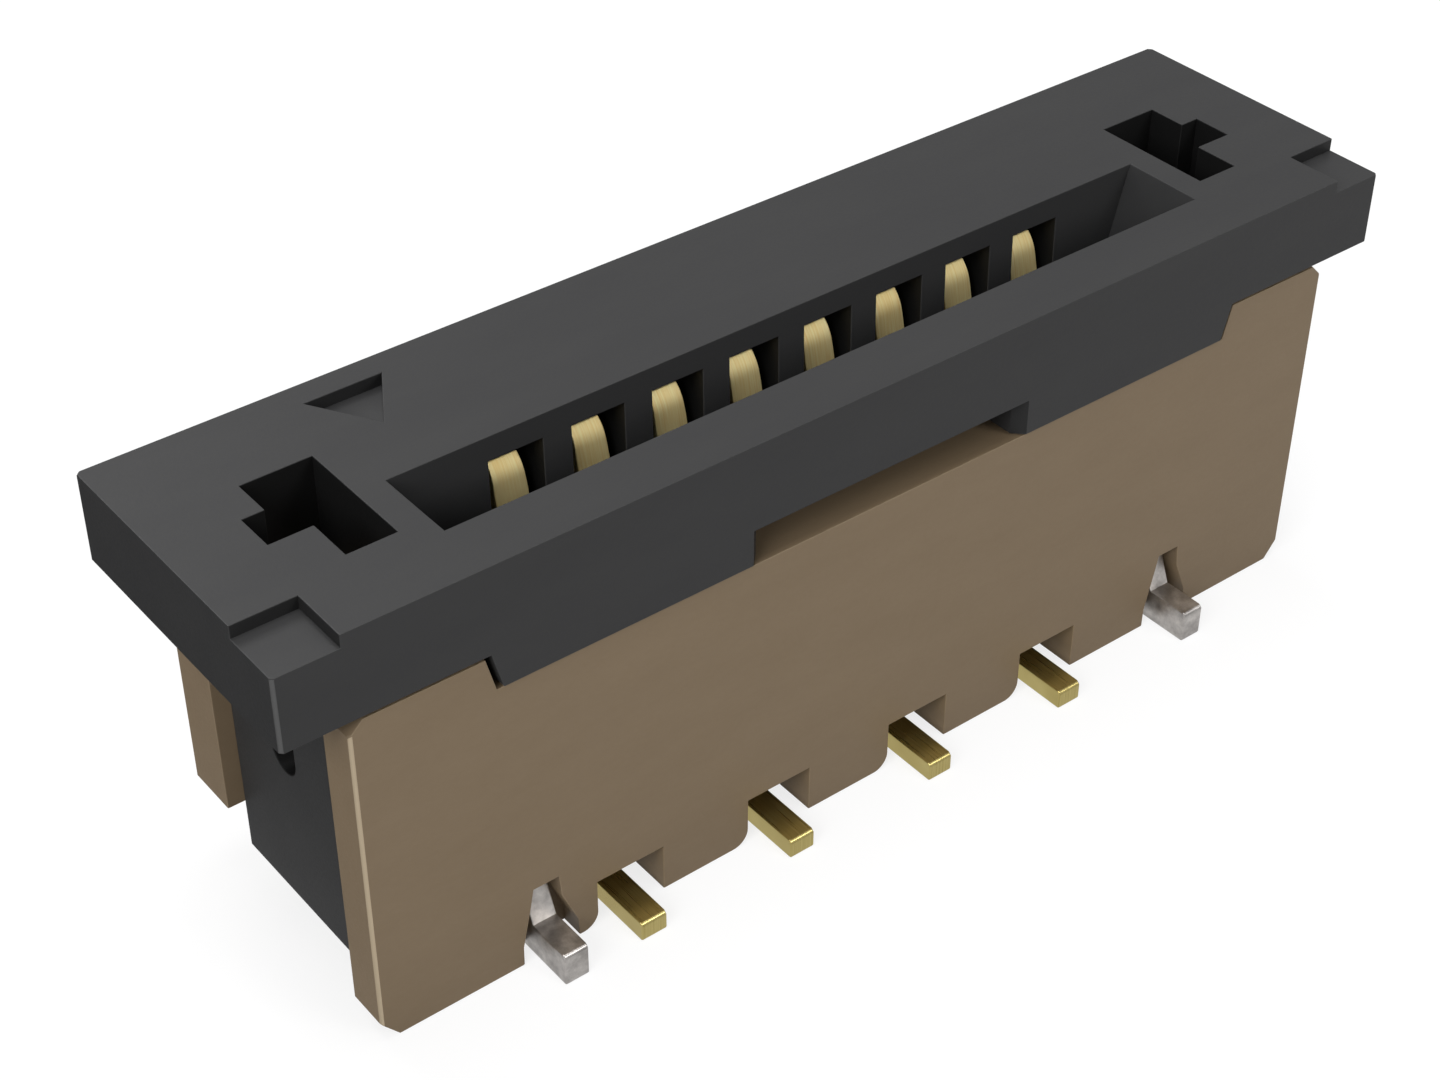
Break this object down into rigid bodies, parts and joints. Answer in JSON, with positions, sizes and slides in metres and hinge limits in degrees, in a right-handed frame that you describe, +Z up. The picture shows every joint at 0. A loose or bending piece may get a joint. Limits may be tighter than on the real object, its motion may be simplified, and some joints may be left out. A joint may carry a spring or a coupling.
{
  "type": "flexible flat cable connector",
  "caption": "Upright surface-mount connector for a flat flexible cable: a tan housing with stamped spring contacts and a black slider that is pushed down to clamp the cable.",
  "frame": {"origin": "centre of the footprint on the circuit board's surface, the level of the undersides of all solder tails", "axes": "+X along the row of contacts towards the end with the last circuit, +Y to the back, the side away from the front skirt, +Z up from the board, the way the slider opens"},
  "size_m": [0.0144, 0.0046, 0.0053],
  "materials": {
    "housing_plastic": "tan moulded plastic, satin",
    "slider_plastic": "black moulded plastic, satin",
    "gold_contact": "gold plating over stamped copper alloy strip",
    "tinned_nail": "tin plating over stamped strip"
  },
  "bodies": {
    "base": {"housing": "housing_plastic", "contact_1": "gold_contact", "contact_2": "gold_contact", "contact_3": "gold_contact", "contact_4": "gold_contact", "contact_5": "gold_contact", "contact_6": "gold_contact", "contact_7": "gold_contact", "contact_8": "gold_contact", "nail_left": "tinned_nail", "nail_right": "tinned_nail"},
    "slider": {"slider": "slider_plastic"}
  },
  "joints": [
    {"name": "slider_travel", "type": "slide", "parent": "base", "child": "slider", "axis": [0, 0, 1], "range_m": [0, 0.001]}
  ]
}
